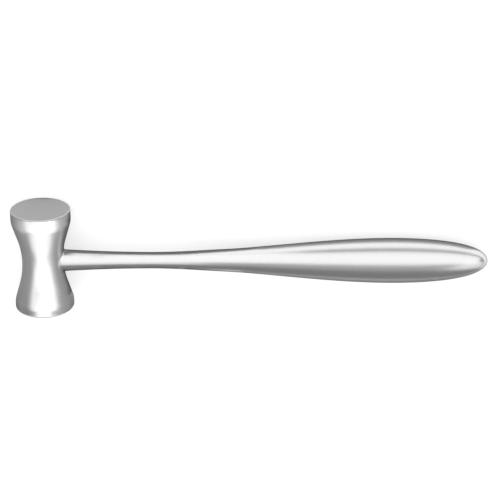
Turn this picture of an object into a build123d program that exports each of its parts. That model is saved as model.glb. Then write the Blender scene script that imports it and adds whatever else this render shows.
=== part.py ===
from build123d import *
import os
from math import asin, atan2, cos, degrees, hypot, radians, sin, tan

# Surgical mallet: a waisted round steel head on a slender round steel handle.
# It lies at rest: the head's two cylindrical lands and the swell of the grip touch z = 0.
# The handle runs along +X and the head's axis along Y; all sizes are in millimetres.

# Overall size
overall_length = 220.0  # back of the head to the tip of the tail, along the handle's axis

# Head, turned about its own axis
head_diameter = 27.2  # lands and striking faces
waist_diameter = 18.9  # smallest section, where the handle enters
waist_radius = 40.2  # concave arc in the middle of the waist
flank_angle = 16.8  # degrees, straight flank between the waist arc and each land
long_land = 6.0  # cylindrical land behind the +Y striking face
short_land = 3.8  # cylindrical land behind the -Y striking face
long_rim_radius = 0.6  # rounded rim of the +Y striking face
short_rim_radius = 1.2  # rounded rim of the -Y striking face
land_edge_radius = 10.0  # blend between land and flank

# Blind cross bore in the waist and the handle's spigot in it
spigot_diameter = 6.4
spigot_radial_clearance = 0.05  # room for the braze
bore_depth = 13.0  # full-diameter depth, from the crest of the waist
bore_end_clearance = 0.6  # between the spigot's end and the bottom of the full diameter
drill_point_angle = 118.0  # degrees, conical bottom of the bore
spigot_chamfer = 0.5
braze_leg = 0.8  # small sloped braze seam around the foot of the neck

# Handle profile, distances from the head's axis along the handle
neck_root = 12.0
neck_root_diameter = 9.8
neck_root_slope = -0.052
thinnest_at = 50.4
thinnest_diameter = 7.6
taper_at = 84.2  # the neck's slow taper ends here
taper_diameter = 10.45
taper_slope = 0.05
flare_at = 97.1  # the grip's faster flare starts here
flare_diameter = 12.25
flare_slope = 0.088
swell_at = 162.0
swell_diameter = 20.9
tail_shoulder = 23.6  # length over which the swell stays full before the tail turns in
tail_fullness = 7.6  # radius to which the tail's end stays blunt

# Derived sizes
head_radius = head_diameter / 2
waist_crest = waist_diameter / 2
tip_at = overall_length - head_radius
bore_diameter = spigot_diameter + 2 * spigot_radial_clearance
arc_half_length = waist_radius * sin(radians(flank_angle))
arc_end_radius = waist_crest + waist_radius * (1 - cos(radians(flank_angle)))
waist_half_length = arc_half_length + (head_radius - arc_end_radius) / tan(radians(flank_angle))
long_face = waist_half_length + long_land
short_face = -waist_half_length - short_land


def turned_blank():
    """Head without its bore, turned about the Y axis."""
    with BuildPart() as blank:
        with BuildSketch(Plane.XY) as section:
            with BuildLine():
                Polyline(
                    (arc_end_radius, -arc_half_length),
                    (head_radius, -waist_half_length),
                    (head_radius, short_face),
                    (0, short_face),
                    (0, long_face),
                    (head_radius, long_face),
                    (head_radius, waist_half_length),
                    (arc_end_radius, arc_half_length),
                )
                ThreePointArc(
                    (arc_end_radius, -arc_half_length),
                    (waist_crest, 0),
                    (arc_end_radius, arc_half_length),
                )
            make_face()
            for corner_at, radius in (
                (long_face, long_rim_radius),
                (waist_half_length, land_edge_radius),
                (-waist_half_length, land_edge_radius),
                (short_face, short_rim_radius),
            ):
                corners = section.vertices().sort_by_distance((head_radius, corner_at, 0))
                fillet(corners[0], radius)
        revolve(axis=Axis.Y)
    return blank.part


def cross_bore():
    """Drilled hole along the handle's axis, with its conical bottom."""
    bottom = waist_crest - bore_depth
    radius = bore_diameter / 2
    point = radius / tan(radians(drill_point_angle / 2))
    with BuildPart() as bore:
        with BuildSketch(Plane.XY):
            with BuildLine():
                Polyline(
                    (bottom - point, 0),
                    (bottom, radius),
                    (head_radius, radius),
                    (head_radius, 0),
                    close=True,
                )
            make_face()
        revolve(axis=Axis.X)
    return bore.part


def cubic(start, start_slope, end, end_slope):
    """Curve whose radius is a cubic of the distance, with given slopes at both ends."""
    third = (end[0] - start[0]) / 3
    return Bezier(
        start,
        (start[0] + third, start[1] + third * start_slope),
        (end[0] - third, end[1] - third * end_slope),
        end,
    )


def handle_outline():
    """Upper half of the handle's outline, from inside the waist to the tip of the tail."""
    inner_at = waist_crest / 2
    inner = (inner_at, neck_root_diameter / 2 + (inner_at - neck_root) * neck_root_slope)
    root = (neck_root, neck_root_diameter / 2)
    thinnest = (thinnest_at, thinnest_diameter / 2)
    taper = (taper_at, taper_diameter / 2)
    flare = (flare_at, flare_diameter / 2)
    swell = (swell_at, swell_diameter / 2)
    return [
        Line(inner, root),
        cubic(root, neck_root_slope, thinnest, 0),
        cubic(thinnest, 0, taper, taper_slope),
        cubic(taper, taper_slope, flare, flare_slope),
        cubic(flare, flare_slope, swell, 0),
        Bezier(swell, (swell_at + tail_shoulder, swell[1]), (tip_at, tail_fullness), (tip_at, 0)),
    ]


def rest_angle():
    """Angle by which the handle droops until its swell touches the plane the head lies on."""
    steps = 400
    angles = []
    for curve in handle_outline()[-2:]:
        for step in range(steps + 1):
            place = curve @ (step / steps)
            reach = hypot(place.X, place.Y)
            angles.append(asin(head_radius / reach) - atan2(place.Y, place.X))
    return degrees(min(angles))


def turned_handle():
    """Neck and grip in one turned piece, its inner end not yet coped."""
    outline = handle_outline()
    inner = outline[0] @ 0
    with BuildPart() as handle:
        with BuildSketch(Plane.XY):
            with BuildLine():
                add(outline)
                Line((tip_at, 0), (inner.X, 0))
                Line((inner.X, 0), inner)
            make_face()
        revolve(axis=Axis.X)
    return handle.part


def spigot():
    """Round pin on the handle's end that sits in the bore."""
    start = waist_crest - bore_depth + bore_end_clearance
    with BuildPart() as pin:
        with Locations(Location((start, 0, 0), (0, 90, 0))):
            Cylinder(
                spigot_diameter / 2,
                waist_crest - start,
                align=(Align.CENTER, Align.CENTER, Align.MIN),
            )
        chamfer(pin.edges().sort_by(Axis.X)[0], spigot_chamfer)
    return pin.part


def meets_waist(edge):
    """True for the closed line where the neck runs into the waist."""
    box = edge.bounding_box()
    beside_waist = waist_crest / 2 < box.min.X and box.max.X < neck_root
    around_neck = min(box.size.Y, box.size.Z) > neck_root_diameter / 2
    return beside_waist and around_neck


def coped_handle(blank):
    """Handle whose shoulder follows the waist, with a sloped braze seam at its foot."""
    joined = blank + turned_handle()
    seam = joined.edges().filter_by(meets_waist)
    joined = chamfer(seam, braze_leg)
    return joined - blank + spigot()


def placed(piece):
    """The piece turned into its lying pose, over the middle of the whole mallet."""
    droop = rest_angle()
    tip_x = tip_at * cos(radians(droop))
    middle_x = (tip_x - head_radius) / 2
    middle_y = (long_face + short_face) / 2
    return Location((-middle_x, -middle_y, head_radius)) * Rotation(0, droop, 0) * piece


blank = turned_blank()
head = placed(blank - cross_bore())
handle = placed(coped_handle(blank))
head.label = "head"
handle.label = "handle"
export_step(head, "parts/head.step")
export_step(handle, "parts/handle.step")
for piece in (head, handle):
    box = piece.bounding_box()
    print(piece.label, "volume", round(piece.volume, 1), "box", box.min, box.max)
print("rest angle", round(rest_angle(), 3), "faces at y", long_face, short_face)
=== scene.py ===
# %% [markdown]
# # A surgical mallet in satin stainless steel
#
# The real tool is two pieces of stainless steel. The head is turned in a lathe: a short round bar with a
# narrow waist and a flat striking face at each end. The handle is turned too: a thin neck that swells
# into a long drop-shaped grip. The neck is coped, which means cut to follow the round waist, and brazed
# to it. The mallet lies on its side, so the two lands of the head and the swell of the grip touch the
# floor.
#
# The CAD model of it is loaded as a fixed frame, and all that follows is placed by it, in metres. Points
# that lie closer together than SAME_PLACE count as one.

from math import asin, atan2, cos, hypot, pi, radians, sin, tan

import bpy
from mathutils import Matrix, Vector


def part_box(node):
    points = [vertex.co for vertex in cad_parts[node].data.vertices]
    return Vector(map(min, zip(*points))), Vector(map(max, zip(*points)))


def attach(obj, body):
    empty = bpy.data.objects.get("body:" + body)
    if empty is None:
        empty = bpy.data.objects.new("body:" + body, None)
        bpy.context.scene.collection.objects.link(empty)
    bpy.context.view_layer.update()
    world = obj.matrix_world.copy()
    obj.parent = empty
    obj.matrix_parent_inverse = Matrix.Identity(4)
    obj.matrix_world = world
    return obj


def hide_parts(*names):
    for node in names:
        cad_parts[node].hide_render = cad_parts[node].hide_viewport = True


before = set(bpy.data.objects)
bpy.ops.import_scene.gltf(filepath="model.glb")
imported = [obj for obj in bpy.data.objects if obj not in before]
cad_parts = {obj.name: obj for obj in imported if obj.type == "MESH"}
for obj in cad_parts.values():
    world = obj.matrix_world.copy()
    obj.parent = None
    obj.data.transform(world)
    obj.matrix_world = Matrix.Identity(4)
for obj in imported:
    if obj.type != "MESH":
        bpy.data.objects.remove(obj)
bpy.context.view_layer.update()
MM = 0.001
SAME_PLACE = 0.001 * MM

# %% [markdown]
# ## Main sizes
#
# The head and the handle are surfaces of revolution, so each is known by its outline: a few distances
# along its axis with the radius there. The head's radius is read from the frame, and the others are the
# sizes that a turner would be given. The head's centre, where both axes cross, is the centre of the
# head's box in X and Z. The waist is narrowest a little off the middle of that box, because the land
# behind one face is longer than the other.

# %% Sizes of the head
head_low, head_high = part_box("head")
head_radius = (head_high.z - head_low.z) / 2
waist_crest = 9.45 * MM
waist_radius = 40.2 * MM
flank_angle = radians(16.8)
land_edge_radius = 10.0 * MM
long_land, long_rim_radius = 6.0 * MM, 0.6 * MM
short_land, short_rim_radius = 3.8 * MM, 1.2 * MM
arc_half_length = waist_radius * sin(flank_angle)
arc_end_radius = waist_crest + waist_radius * (1 - cos(flank_angle))
waist_half_length = arc_half_length + (head_radius - arc_end_radius) / tan(flank_angle)
crossing = Vector((
    (head_low.x + head_high.x) / 2,
    (head_low.y + head_high.y) / 2 + (short_land - long_land) / 2,
    head_radius,
))
print("Head radius", round(head_radius / MM, 2), "mm, crossing", [round(v / MM, 2) for v in crossing])

# %% Sizes of the handle
overall_length = 220.0 * MM
tip_at = overall_length - head_radius
neck_root, neck_root_radius, neck_root_slope = 12.0 * MM, 4.9 * MM, -0.052
thinnest_at, thinnest_radius = 50.4 * MM, 3.8 * MM
taper_at, taper_radius, taper_slope = 84.2 * MM, 5.225 * MM, 0.05
flare_at, flare_radius, flare_slope = 97.1 * MM, 6.125 * MM, 0.088
swell_at, swell_radius = 162.0 * MM, 10.45 * MM
tail_shoulder, tail_fullness = 23.6 * MM, 7.6 * MM
foot_radius = neck_root_radius + (waist_crest - neck_root) * neck_root_slope
seam_radius = 0.9 * MM
print("Grip", round(2 * swell_radius / MM, 2), "mm across, tip at", round(tip_at / MM, 2), "mm")


# %% [markdown]
# ## Outlines
#
# An outline is a list of points (distance along the axis, radius). Straight stretches need only their
# ends. An arc is a few points on a circle, and the handle's long curves are cubics through the sizes
# above, which keeps the neck and the grip free of flat spots. Closer points would not change the look,
# only the weight.

# %% Helpers for outlines
def arc(centre, radius, start, end, steps):
    """Points on a circle round centre, from angle start to angle end, measured from the radius axis."""
    angles = [start + (end - start) * i / steps for i in range(steps + 1)]
    return [(centre[0] + radius * sin(a), centre[1] + radius * cos(a)) for a in angles]


def bezier(a, b, c, d, steps):
    """Points on a Bezier curve from a to d, drawn towards b and c on the way."""
    points = []
    for i in range(steps + 1):
        t = i / steps
        weights = ((1 - t) ** 3, 3 * t * (1 - t) ** 2, 3 * t * t * (1 - t), t ** 3)
        points.append(tuple(sum(w * p[k] for w, p in zip(weights, (a, b, c, d))) for k in (0, 1)))
    return points


def cubic(a, slope_a, b, slope_b, steps):
    """Points on a cubic from a to b that leaves and arrives with these slopes."""
    third = (b[0] - a[0]) / 3
    after_a = (a[0] + third, a[1] + third * slope_a)
    before_b = (b[0] - third, b[1] - third * slope_b)
    return bezier(a, after_a, before_b, b, steps)


def joined(*stretches):
    """The stretches as one outline, without the points that two neighbours share."""
    outline = list(stretches[0])
    for stretch in stretches[1:]:
        gap = hypot(stretch[0][0] - outline[-1][0], stretch[0][1] - outline[-1][1])
        outline += stretch[1:] if gap < SAME_PLACE else stretch
    return outline


# %% [markdown]
# ## From outline to turned piece
#
# A lathe turns a bar and a tool follows the outline. Blender's Spin does the same: it sweeps a chain of
# edges round an axis. Drawing a cylinder and scaling its rings would work too, but Spin takes the outline
# as it is and gives even rings, which matter on shiny metal because every dent in the mesh shows as a
# kink in the highlight. The chain starts from a small plane merged to one point, and each Extrude adds
# the next point.

# %% Helpers for turned pieces
def alone(obj):
    """Makes obj the only selected object and the active one."""
    bpy.ops.object.select_all(action="DESELECT")
    obj.select_set(True)
    bpy.context.view_layer.objects.active = obj


def turned(name, outline, axis, steps):
    """A closed piece spun from an outline of (distance, radius) round the X or Y axis."""
    bpy.ops.object.select_all(action="DESELECT")
    along = Vector((1, 0, 0)) if axis == "X" else Vector((0, 1, 0))
    points = [along * distance + Vector((0, 0, radius)) for distance, radius in outline]
    bpy.ops.mesh.primitive_plane_add(size=MM, location=(0, 0, 0))
    piece = bpy.context.object
    piece.name = piece.data.name = name
    bpy.ops.object.mode_set(mode="EDIT")
    bpy.ops.mesh.select_all(action="SELECT")
    bpy.ops.mesh.merge(type="CENTER")
    bpy.ops.transform.translate(value=points[0])
    for here, there in zip(points, points[1:]):
        bpy.ops.mesh.extrude_region_move(TRANSFORM_OT_translate={"value": there - here})
    bpy.ops.mesh.select_all(action="SELECT")
    bpy.ops.mesh.spin(steps=steps, angle=2 * pi, center=(0, 0, 0), axis=along)
    bpy.ops.mesh.select_all(action="SELECT")
    bpy.ops.mesh.remove_doubles(threshold=SAME_PLACE)
    bpy.ops.mesh.normals_make_consistent(inside=False)
    bpy.ops.object.mode_set(mode="OBJECT")
    bpy.ops.object.shade_smooth()
    print(name, "has", len(piece.data.vertices), "points and", len(piece.data.polygons), "faces")
    return piece


# %% [markdown]
# ## The head
#
# From the middle outwards: a concave waist, straight flanks, short cylindrical lands and the flat faces
# with their rounded rims. The corner between flank and land is blended with a large radius, because the
# highlight bends there without a kink. One rim is rounder than the other, and one land is longer. A ring
# of points close inside each rim keeps the striking face truly flat when it is shaded smooth.

# %% Outline of the head
def half_head(land, rim_radius):
    """Outline from the crest of the waist to the middle of one striking face."""
    face = waist_half_length + land
    blend_length = land_edge_radius * tan(flank_angle / 2)
    waist = arc((0, waist_crest + waist_radius), -waist_radius, 0, -flank_angle, steps=24)
    blend = arc((waist_half_length + blend_length, head_radius - land_edge_radius),
                land_edge_radius, -flank_angle, 0, steps=10)
    rim = arc((face - rim_radius, head_radius - rim_radius), rim_radius, 0, pi / 2, steps=10)
    ring_inside = 1.4 * rim_radius
    flat = [(face, head_radius - ring_inside), (face, head_radius / 2), (face, 0)]
    return joined(waist, blend, rim, flat)


long_side = half_head(long_land, long_rim_radius)
short_side = [(-distance, radius) for distance, radius in half_head(short_land, short_rim_radius)]
head_outline = joined(short_side[::-1], long_side)
head = turned("mallet_head", head_outline, "Y", steps=160)

# %% [markdown]
# ## The handle
#
# The outline runs from a hidden cap inside the waist, over the braze seam at the foot of the neck, along
# the thin neck and the drop-shaped grip to the tip of the tail. It is drawn straight first, as if the
# neck ended on a flat wall. The seam is a quarter circle, so neck and waist flow into each other as
# filler metal does.

# %% Outline of the handle
seam = arc((seam_radius, foot_radius + seam_radius), -seam_radius, pi / 2, 0, steps=8)
clear_of_waist = waist_crest + 2 * MM
hidden_depth = 0.3 * MM
cap_at = 6 * MM
hidden_cap = [(cap_at, 0), (cap_at, foot_radius)]
hidden_ring = [(clear_of_waist - hidden_depth, foot_radius + seam_radius)]
seam_rings = [(clear_of_waist + height, radius) for height, radius in seam]
past_seam = 0.5 * MM
neck_start = clear_of_waist + seam_radius + past_seam
neck_start_radius = neck_root_radius + (neck_start - neck_root) * neck_root_slope
grip_outline = cubic((flare_at, flare_radius), flare_slope, (swell_at, swell_radius), 0, steps=36)
tail_outline = bezier((swell_at, swell_radius), (swell_at + tail_shoulder, swell_radius),
                      (tip_at, tail_fullness), (tip_at, 0), steps=48)
handle_outline = joined(
    hidden_cap,
    hidden_ring,
    seam_rings,
    cubic((neck_start, neck_start_radius), neck_root_slope, (thinnest_at, thinnest_radius), 0, steps=24),
    cubic((thinnest_at, thinnest_radius), 0, (taper_at, taper_radius), taper_slope, steps=20),
    cubic((taper_at, taper_radius), taper_slope, (flare_at, flare_radius), flare_slope, steps=10),
    grip_outline,
    tail_outline,
)
handle = turned("mallet_handle", handle_outline, "X", steps=128)

# %% [markdown]
# ## Coping the neck
#
# On the bench the end of the neck is filed to a saddle that fits the round waist. Here Shrinkwrap does
# it: it slides one ring of points at a time along the handle until the ring lies on the head, at that
# ring's own height in the seam. A Boolean would cut the same saddle, but it leaves long thin faces that
# dent the shading.

# %% Lay the seam's rings on the waist
def lay_on_waist(ring_at, height):
    """Slides the handle's ring at this distance along the handle, down to this height above the head."""
    group = handle.vertex_groups.new(name="ring")
    ring = [v.index for v in handle.data.vertices if abs(v.co.x - ring_at) < SAME_PLACE]
    group.add(ring, 1, "REPLACE")
    wrap = handle.modifiers.new("lay on waist", "SHRINKWRAP")
    wrap.target = head
    wrap.vertex_group = group.name
    wrap.wrap_method = "PROJECT"
    wrap.wrap_mode = "ON_SURFACE"
    wrap.use_project_x = True
    wrap.use_positive_direction = False
    wrap.use_negative_direction = True
    wrap.offset = height
    alone(handle)
    bpy.ops.object.modifier_apply(modifier=wrap.name)
    handle.vertex_groups.clear()


for distance, _ in seam_rings + hidden_ring:
    lay_on_waist(distance, distance - clear_of_waist)
saddle = [v.co.x / MM for v in handle.data.vertices if cap_at + hidden_depth < v.co.x < clear_of_waist]
print("The foot of the neck reaches from", round(min(saddle), 2), "to", round(max(saddle), 2), "mm")

# %% [markdown]
# ## Lying at rest
#
# The head is wider than the grip, so the handle droops by about one degree until the swell touches the
# floor. Each point of the outline would touch at its own angle, and the smallest of these angles is where
# it stops. Both pieces are turned by it about the head's axis, moved into the frame, and their place is
# applied.

# %% Turn and place both pieces
droop = min(asin(head_radius / hypot(*point)) - atan2(point[1], point[0])
            for point in grip_outline + tail_outline)
for piece in (head, handle):
    piece.matrix_world = Matrix.Translation(crossing) @ Matrix.Rotation(droop, 4, "Y")
    alone(piece)
    bpy.ops.object.transform_apply(location=True, rotation=True, scale=True)
print("The handle droops by", round(droop / pi * 180, 3), "degrees")


# %% [markdown]
# ## Which way the polishing marks run
#
# A turned piece is finished in the lathe with fine abrasive, which leaves marks too fine to see one by
# one. They run round the piece and stretch every highlight along it. Cycles calls this anisotropy and
# needs to know the direction, which comes from a UV map: U runs once round the piece and V along it.
# Faces at the join get their U carried past one, so that no face runs backwards.

# %% A UV map that runs round a turned piece
def map_round(piece, axis):
    """Adds a UV map with U in turns round the piece's axis and V in metres along it."""
    layer = piece.data.uv_layers.new(name="round")
    for face in piece.data.polygons:
        turns = []
        for corner in face.loop_indices:
            place = piece.data.vertices[piece.data.loops[corner].vertex_index].co - crossing
            if axis == "X":
                along = place.x * cos(droop) - place.z * sin(droop)
                up = place.x * sin(droop) + place.z * cos(droop)
                turn = atan2(place.y, -up) / (2 * pi)
            else:
                along = place.y
                turn = atan2(place.x, -place.z) / (2 * pi)
            turns.append([corner, turn, along])
        first = turns[0][1]
        for corner, turn, along in turns:
            turn += round(first - turn)
            layer.data[corner].uv = (turn, along)
    print(piece.name, "mapped round its axis")


map_round(head, "Y")
map_round(handle, "X")

# %% [markdown]
# ## Materials
#
# Colours are written as sRGB hex values, as a paint chart gives them, and turned to linear light once.
# One small function adds a node, sets it up and links it, so that a material reads as a list of its
# parts.

# %% Helpers for materials
def linear(hex_colour):
    """Linear RGBA from an sRGB hex value such as E0E0E0."""
    channels = [int(hex_colour[i:i + 2], 16) / 255 for i in (0, 2, 4)]
    return [c / 12.92 if c <= 0.04045 else ((c + 0.055) / 1.055) ** 2.4 for c in channels] + [1]


def node(tree, kind, settings=None, inputs=None):
    """Adds a node with its settings and its inputs, each a value or the output that it is linked to."""
    made = tree.nodes.new(kind)
    for name, value in (settings or {}).items():
        setattr(made, name, value)
    for name, value in (inputs or {}).items():
        if isinstance(value, bpy.types.NodeSocket):
            tree.links.new(value, made.inputs[name])
        else:
            made.inputs[name].default_value = value
    return made


def empty_material(name):
    """A material whose node tree holds nothing but its output."""
    material = bpy.data.materials.new(name)
    material.use_nodes = True
    tree = material.node_tree
    tree.nodes.clear()
    return material, tree, tree.nodes.new("ShaderNodeOutputMaterial")


# %% [markdown]
# ## Satin stainless steel
#
# Bare stainless steel, turned and then finished with fine abrasive while it spins. It is a neutral grey
# metal that mirrors the room softly, more softly along the piece than round it. The marks are some
# hundredths of a millimetre wide. They are drawn 0.6 mm wide and very faint here, because finer ones
# would not show at all. A dark edge tint keeps the steel grey where it is seen edge-on, so that its
# outline stands out on white.

# %% Satin steel, for the head and for the handle
MARK_WIDTH = 0.6 * MM
MARK_LENGTH = 12 * MM
GLOSS_SPREAD = 0.01
EDGE_TINT = "202020"


def satin_steel(name, along, tilt, roughness):
    """Satin turned steel whose marks run round the axis along, which droops by tilt."""
    material, tree, output = empty_material(name)
    across = 1 / MARK_WIDTH
    round_it = 1 / MARK_LENGTH
    scale = (across, round_it, round_it) if along == "X" else (round_it, across, round_it)
    place = node(tree, "ShaderNodeTexCoord")
    turned_back = node(tree, "ShaderNodeMapping", inputs={
        "Vector": place.outputs["Object"], "Rotation": (0, -tilt, 0), "Scale": scale})
    marks = node(tree, "ShaderNodeTexNoise", inputs={
        "Vector": turned_back.outputs["Vector"], "Scale": 1, "Detail": 3, "Roughness": 0.6})
    tone = node(tree, "ShaderNodeMix", settings={"data_type": "RGBA"}, inputs={
        "Factor": marks.outputs["Fac"], "A": linear("E8E8E8"), "B": linear("EEEEEE")})
    gloss = node(tree, "ShaderNodeMapRange", inputs={
        "Value": marks.outputs["Fac"],
        "To Min": roughness - GLOSS_SPREAD,
        "To Max": roughness + GLOSS_SPREAD})
    direction = node(tree, "ShaderNodeTangent", settings={"direction_type": "UV_MAP", "uv_map": "round"})
    steel = node(tree, "ShaderNodeBsdfPrincipled", inputs={
        "Metallic": 1, "Anisotropic": 0.5, "Roughness": gloss.outputs["Result"],
        "Specular Tint": linear(EDGE_TINT), "Tangent": direction.outputs["Tangent"]})
    tree.links.new(tone.outputs[2], steel.inputs["Base Color"])
    tree.links.new(steel.outputs["BSDF"], output.inputs["Surface"])
    return material


head_steel = satin_steel("satin turned stainless steel, head", "Y", 0, 0.32)
handle_steel = satin_steel("satin turned stainless steel, handle", "X", droop, 0.28)
print("Made", head_steel.name, "and", handle_steel.name)

# %% [markdown]
# ## Ground striking face
#
# Both faces are ground flat on a fine wheel and left matt, so that the tool they strike does not slip.
# The face mirrors nothing sharply. Its base colour is far darker than the satin steel's, and that grey is
# partly painted shade: it stands in for the shaded floor that the face mirrors, so the face reads as one
# even grey. Faces that lean less than 18 degrees from flat, the start of the rounded rim, get this darker
# steel too, and there it paints a dark line of shade along the face's rim. The grit's marks are drawn
# 0.5 mm wide, many times wider than they are, so that they just show.

# %% Ground steel, darkened as painted shade
GRIT_WIDTH = 0.5 * MM
ground_steel_with_painted_shade, tree, output = empty_material("ground stainless steel, striking face")
place = node(tree, "ShaderNodeTexCoord")
grit = node(tree, "ShaderNodeTexNoise", inputs={
    "Vector": place.outputs["Object"], "Scale": 1 / GRIT_WIDTH, "Detail": 2})
tone = node(tree, "ShaderNodeMix", settings={"data_type": "RGBA"}, inputs={
    "Factor": grit.outputs["Fac"], "A": linear("A0A0A0"), "B": linear("A6A6A6")})
face = node(tree, "ShaderNodeBsdfPrincipled", inputs={"Metallic": 1, "Roughness": 0.42})
tree.links.new(tone.outputs[2], face.inputs["Base Color"])
tree.links.new(face.outputs["BSDF"], output.inputs["Surface"])
print("Made", ground_steel_with_painted_shade.name)

# %% Give the pieces their steel
handle.data.materials.append(handle_steel)
head.data.materials.append(head_steel)
head.data.materials.append(ground_steel_with_painted_shade)
# Rim faces this close to flat take the darker steel too, which paints a dark line of shade along the
# face's rim.
GROUND_AND_SHADE_TO = radians(18)
for polygon in head.data.polygons:
    ground = abs(polygon.normal.y) > cos(GROUND_AND_SHADE_TO)
    polygon.material_index = 1 if ground else 0
print("Ground faces:", sum(p.material_index for p in head.data.polygons))

# %% [markdown]
# ## Telling the frame what stands for what
#
# The two pieces replace the CAD nodes of the same name, which are hidden, and ride on the one body that
# this part has.

for piece, cad_node, finish in ((head, "head", "head_steel"), (handle, "handle", "handle_steel")):
    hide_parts(cad_node)
    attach(piece, "root")
    print(piece.name, "stands for", cad_node, "with the finish", finish)

# %% [markdown]
# ## Floor
#
# A plain white floor. Shiny metal shows it as much as the camera does, so rays of both kinds see it
# partly as plain white. The rest of its tone comes from the lamps, which leaves the mallet's own soft
# shadow on it. A brighter lamp could whiten it too, but that would also bleach the steel.

# %% White floor
FLOOR_SIZE = 6
FLOOR_GLOW = 0.55


def flat_sheet(name, width, length):
    """A level sheet round the origin."""
    bpy.ops.object.select_all(action="DESELECT")
    bpy.ops.mesh.primitive_plane_add(size=1, location=(0, 0, 0))
    sheet = bpy.context.object
    sheet.name = name
    sheet.scale = (width, length, 1)
    bpy.ops.object.transform_apply(location=True, rotation=True, scale=True)
    return sheet


def paper(name, hex_colour, glow):
    """Matt paper that camera, glossy and transmission rays see partly as plain white."""
    material, tree, output = empty_material(name)
    lit = node(tree, "ShaderNodeBsdfDiffuse", inputs={"Color": linear(hex_colour)})
    white = node(tree, "ShaderNodeEmission", inputs={"Strength": 1})
    rays = node(tree, "ShaderNodeLightPath")
    seen = rays.outputs["Is Camera Ray"]
    for kind in ("Is Glossy Ray", "Is Transmission Ray"):
        either = node(tree, "ShaderNodeMath", {"operation": "MAXIMUM"}, {0: seen, 1: rays.outputs[kind]})
        seen = either.outputs[0]
    share = node(tree, "ShaderNodeMath", {"operation": "MULTIPLY"}, {0: seen, 1: glow})
    mixed = node(tree, "ShaderNodeMixShader", inputs={
        0: share.outputs[0], 1: lit.outputs[0], 2: white.outputs[0]})
    tree.links.new(mixed.outputs[0], output.inputs["Surface"])
    return material


floor = flat_sheet("white_floor", FLOOR_SIZE, FLOOR_SIZE)
floor.data.materials.append(paper("white floor", "F8F8F8", FLOOR_GLOW))
print("Floor laid, and rays see", FLOOR_GLOW, "of it as plain white")

# %% [markdown]
# ## Cards round the metal
# The cards that lie flat beneath the handle and just before the near face are painted shadow: they put the
# mallet's contact shadow back into its reflections, where the floor's plain white would wash it out.
#
# Who photographs shiny metal holds small grey cards close to it, just outside the picture. Where the
# metal mirrors a card instead of the white floor it turns grey, and that draws its edges on a white
# ground. Each card here has one even tone and shows in reflections only, so it needs no hiding and throws
# no shadow. Darker paint along the edges would look the same from one side, but it would stay on the
# steel from every other side.
#
# Places are in mm from the point of the floor under the head's centre, with x along the handle.

# %% Helpers for cards
def tone_card(hex_colour):
    """A material of one even tone, whatever light falls on it."""
    material, tree, output = empty_material("card " + hex_colour)
    even = node(tree, "ShaderNodeEmission", inputs={"Color": linear(hex_colour), "Strength": 1})
    tree.links.new(even.outputs[0], output.inputs["Surface"])
    return material


def card(name, material, place, width, height, turn=0, sink=0, rise=pi / 2):
    """A card that only reflections show. Unturned, it stands along the handle. It lies where rise is 0."""
    sheet = flat_sheet(name, width * MM, height * MM)
    place = Vector((crossing.x, crossing.y, 0)) + Vector(place) * MM
    turns = Matrix.Rotation(turn, 4, "Z") @ Matrix.Rotation(sink, 4, "Y") @ Matrix.Rotation(rise, 4, "X")
    sheet.matrix_world = Matrix.Translation(place) @ turns
    sheet.visible_camera = sheet.visible_diffuse = sheet.visible_shadow = False
    sheet.data.materials.append(material)


dark_tone, middle_tone, grey_tone = tone_card("6A6A6A"), tone_card("7C7C7C"), tone_card("9A9A9A")
soft_tone, pale_tone = tone_card("A8A8A8"), tone_card("B4B4B4")

# %% Cards beside the head
ACROSS = pi / 2
card("left of the far half", grey_tone, (-34, -25, 13), 54, 26, turn=ACROSS)
card("left of the near half", soft_tone, (-34, 30, 13), 56, 26, turn=ACROSS)
card("right of the far half", grey_tone, (24, -27, 13), 38, 26, turn=ACROSS)
card("further right of the far half", grey_tone, (42, -32, 13), 50, 26, turn=ACROSS)
card("right of the near face", pale_tone, (26, 26, 13), 32, 26, turn=ACROSS)
# This lying dark card paints the contact shadow in front of the near face, where the face's rim mirrors
# it.
card("painted shadow before the near face", dark_tone, (0, 24.7, 0.15), 26, 3, rise=0)

# %% Cards along the handle
TAPER_SINK = radians(12.4)
card("along the neck, near side", dark_tone, (36.5, 16, 5.5), 53, 12)
card("along the taper, near side", dark_tone, (92, 16, 0), 60, 10, sink=TAPER_SINK)
card("along the neck, far side", middle_tone, (36.5, -16, 7.5), 53, 19)
card("along the taper, far side", middle_tone, (92, -16, 2), 60, 17, sink=TAPER_SINK)
# These two lying cards paint the contact shadow beneath the handle, where the handle's edges mirror it.
card("painted shadow under the neck", middle_tone, (54, 0, 0.2), 88, 40, rise=0)
card("painted shadow under the grip", grey_tone, (153, 2, 0.2), 110, 46, rise=0)
card("behind the grip", pale_tone, (165, -40, 8), 150, 16)

# %% [markdown]
# ## Studio light
#
# Metal is lit by what it mirrors, so every light band on the mallet is the image of a lamp. The lamps are
# soft boxes, which are lit sheets of an even brightness. One sheet would do for a plain cylinder. The
# waisted head lies across the handle and bends its reflections the other way, so each piece has boxes of
# its own. Light linking keeps a box on one piece, as a board held between the box and the other piece
# would.

# %% Helpers for lamps
def soft_box(name, place, aim, width, height, radiance):
    """A rectangular lamp that faces a point, its width level, as bright as a sheet of this radiance."""
    lamp = bpy.data.lights.new(name, "AREA")
    lamp.shape = "RECTANGLE"
    lamp.size, lamp.size_y = width, height
    lamp.energy = radiance * pi * width * height
    box = bpy.data.objects.new(name, lamp)
    bpy.context.scene.collection.objects.link(box)
    towards = (Vector(aim) - Vector(place)).normalized()
    side = (towards.cross(Vector((0, 0, 1))) if abs(towards.x) > 0.5 else Vector((1, 0, 0))).normalized()
    up = (-towards).cross(side).normalized()
    turn = Matrix((side, up, -towards)).transposed().to_4x4()
    box.matrix_world = Matrix.Translation(place) @ turn
    box.visible_camera = False
    return box


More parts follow.
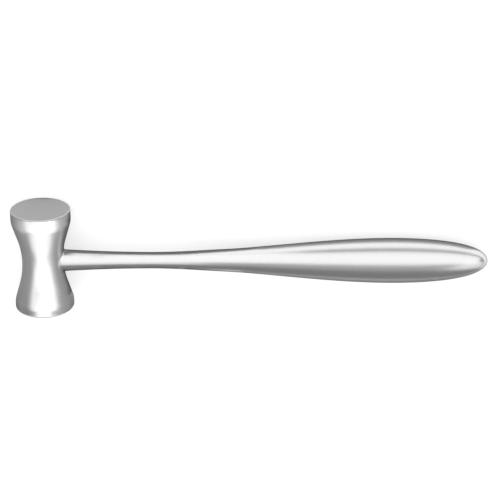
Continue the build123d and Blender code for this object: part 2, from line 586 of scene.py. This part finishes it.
def only_on(box, *pieces):
    """Keeps a soft box's light on these pieces."""
    group = bpy.data.collections.new("lit by " + box.name)
    for piece in pieces:
        group.objects.link(piece)
    box.light_linking.receiver_collection = group


def over(aim, from_zenith, distance):
    """The place at this angle from the zenith, towards +Y, and this distance from aim."""
    return Vector(aim) + distance * Vector((0, sin(from_zenith), cos(from_zenith)))


def span(angle, distance):
    """The size that is seen at this angle from this distance."""
    return 2 * distance * tan(angle / 2)


# %% [markdown]
# ### Light on the handle
#
# The large box hangs on the near side, from low over the floor to nearly overhead, and makes the broad
# white band. It is long enough for the band to reach the tip of the tail. A dim box beside it softens the
# band's lower edge, and two small ones near the head fill the band where the neck is thin. One box past
# the tail gives its end a light spot, and one past the head lights the grip for a look from the tail's
# end. FAR and CLOSE are how far from the metal the boxes hang.

# %% Soft boxes for the handle
BAND_LENGTH = 3.0
FAR, CLOSE = 0.9, 0.12
EDGE_TILT, EDGE_SPAN = radians(-13), radians(34)
band_middle = Vector((0.6, 0, swell_radius))
large_box = soft_box("large box", over(band_middle, radians(36.5), FAR), band_middle,
                     BAND_LENGTH, span(radians(69), FAR), 0.96)
edge_box = soft_box("dim edge box", over(band_middle, EDGE_TILT, FAR), band_middle,
                    BAND_LENGTH, span(EDGE_SPAN, FAR), 0.18)
neck_middle = crossing + Vector((52, 0, 0)) * MM
neck_box = soft_box("neck box", neck_middle + Vector((0, 200, 40)) * MM, neck_middle,
                    90 * MM, 70 * MM, 0.9)
neck_foot = crossing + Vector((18, 0, 0)) * MM
foot_box = soft_box("neck foot box", over(neck_foot, EDGE_TILT, CLOSE), neck_foot,
                    84 * MM, span(EDGE_SPAN, CLOSE), 0.6)
tail_box = soft_box("tail box", (0.70, -0.25, 0.42), (0.1, 0, 10 * MM), 0.60, 0.75, 0.6)
end_box = soft_box("box past the head", (-0.75, 0, 0.45), (0.05, 0, 10 * MM), 0.70, 0.50, 0.6)
only_on(large_box, handle, floor)
for box in (edge_box, neck_box, foot_box, tail_box, end_box):
    only_on(box, handle)
print("Soft boxes for the handle:", len(bpy.data.lights))

# %% [markdown]
# ### Light on the head
#
# The box above makes the streak down the middle of the waist and the far flank. The near flank leans away
# and mirrors the room behind the head, so the back box carries the streak on there. Two panels beside the
# box above widen the streak on the far flank, and small ones close to the lands fan it out towards the
# faces. Two fainter ones next to these soften the step from flank to land. The near box is for the other
# side: seen from there, the near flank mirrors it. ABOVE and BESIDE are how far from the head's centre
# the three larger boxes hang.

# %% Soft boxes for the head
ABOVE, BESIDE = 0.15, 0.25
TOP_SHIFT = Vector((6 * MM, 0, 0))
top_box = soft_box("head top box", over(crossing, radians(-20), ABOVE) + TOP_SHIFT, crossing,
                   span(radians(50), ABOVE), span(radians(58), ABOVE), 1.25)
back_box = soft_box("head back box", over(crossing, radians(-60), ABOVE), crossing,
                    span(radians(66), ABOVE), span(radians(24), ABOVE), 1.05)
near_box = soft_box("head near box", over(crossing, radians(54), BESIDE), crossing,
                    span(radians(90), BESIDE), span(radians(44), BESIDE), 0.8)
for box in (top_box, back_box, near_box):
    only_on(box, head)
print("Soft boxes so far:", len(bpy.data.lights))


# %% Panels beside the head
def head_panel(name, place, aim_y, width, height, radiance):
    """A small soft box for the head, its sizes in mm, aimed at a point on the head's axis."""
    panel = soft_box(name, crossing + Vector(place) * MM, crossing + Vector((0, aim_y, 0)) * MM,
                     width * MM, height * MM, radiance)
    only_on(panel, head)


head_panel("left flank panel", (-46.1, -10.7, 68), 20, 52, 34, 1.0)
head_panel("right flank panel", (51.4, -12.4, 64.0), 20, 52, 38, 1.15)
head_panel("left land panel", (-34, 4, 25), 21, 24, 30, 0.30)
head_panel("low left land panel", (-41, 4, 12), 21, 24, 24, 0.10)
head_panel("right land panel", (32, 4, 28), 21, 24, 30, 0.70)
head_panel("left blend panel", (-34, -15, 25), 2, 14, 30, 0.04)
head_panel("right blend panel", (32, -15, 28), 2, 14, 30, 0.16)
head_panel("far right land panel", (32, -38, 25), -21, 24, 24, 0.20)
print("Soft boxes and panels:", len(bpy.data.lights))

# %% [markdown]
# ### Light on the floor, and the room
#
# One wide box overhead lights the floor evenly and gives the soft shadow. The metal doesn't mirror it.
# The room is a plain grey, and the steel shows it wherever it mirrors neither a box nor a card nor the
# floor.

# %% Floor light and room
floor_box = soft_box("floor box", (0, 0, 1.2), (0, 0, 0), 2.2, 2.2, 1.7)
floor_box.visible_glossy = False
world = bpy.data.worlds.new("grey room")
world.use_nodes = True
background = world.node_tree.nodes["Background"]
background.inputs["Color"].default_value = linear("7C7C7C")
background.inputs["Strength"].default_value = 1
bpy.context.scene.world = world

# %% [markdown]
# ## Camera
#
# The picture is taken from above, a little from the side of the longer land, with the handle level across
# the frame. The lens is long and about 0.6 m away, which makes the near face only slightly wider than the
# far one. The picture is 500 by 500 dots, so a focal length in dots gives the lens in mm of a 36 mm wide
# sensor. Focal length, distance, angles and the point aimed at were found by fitting the mallet's outline
# to the photograph's.

# %% The camera
PICTURE_WIDTH = 500
SENSOR_WIDTH = 36
focal_dots = 1389.4
camera_distance = 0.640
elevation, azimuth, roll = radians(64.89), radians(-1.70), radians(0.87)
aim = Vector((crossing.x + 0.0956, crossing.y + 0.0063, 0.014))
back = Vector((cos(elevation) * sin(azimuth), cos(elevation) * cos(azimuth), sin(elevation)))
level_up = (Vector((0, 1, 0)) - back * back.y).normalized()
level_right = (-back).cross(level_up)
right = cos(roll) * level_right + sin(roll) * level_up
up = cos(roll) * level_up - sin(roll) * level_right
camera_data = bpy.data.cameras.new("camera")
camera_data.sensor_width = SENSOR_WIDTH
camera_data.lens = SENSOR_WIDTH * focal_dots / PICTURE_WIDTH
camera = bpy.data.objects.new("camera", camera_data)
bpy.context.scene.collection.objects.link(camera)
turn = Matrix((right, up, back)).transposed().to_4x4()
camera.matrix_world = Matrix.Translation(aim + back * camera_distance) @ turn
bpy.context.scene.camera = camera
bpy.context.scene.view_settings.view_transform = "Standard"
print("Camera at", [round(v, 3) for v in camera.location])
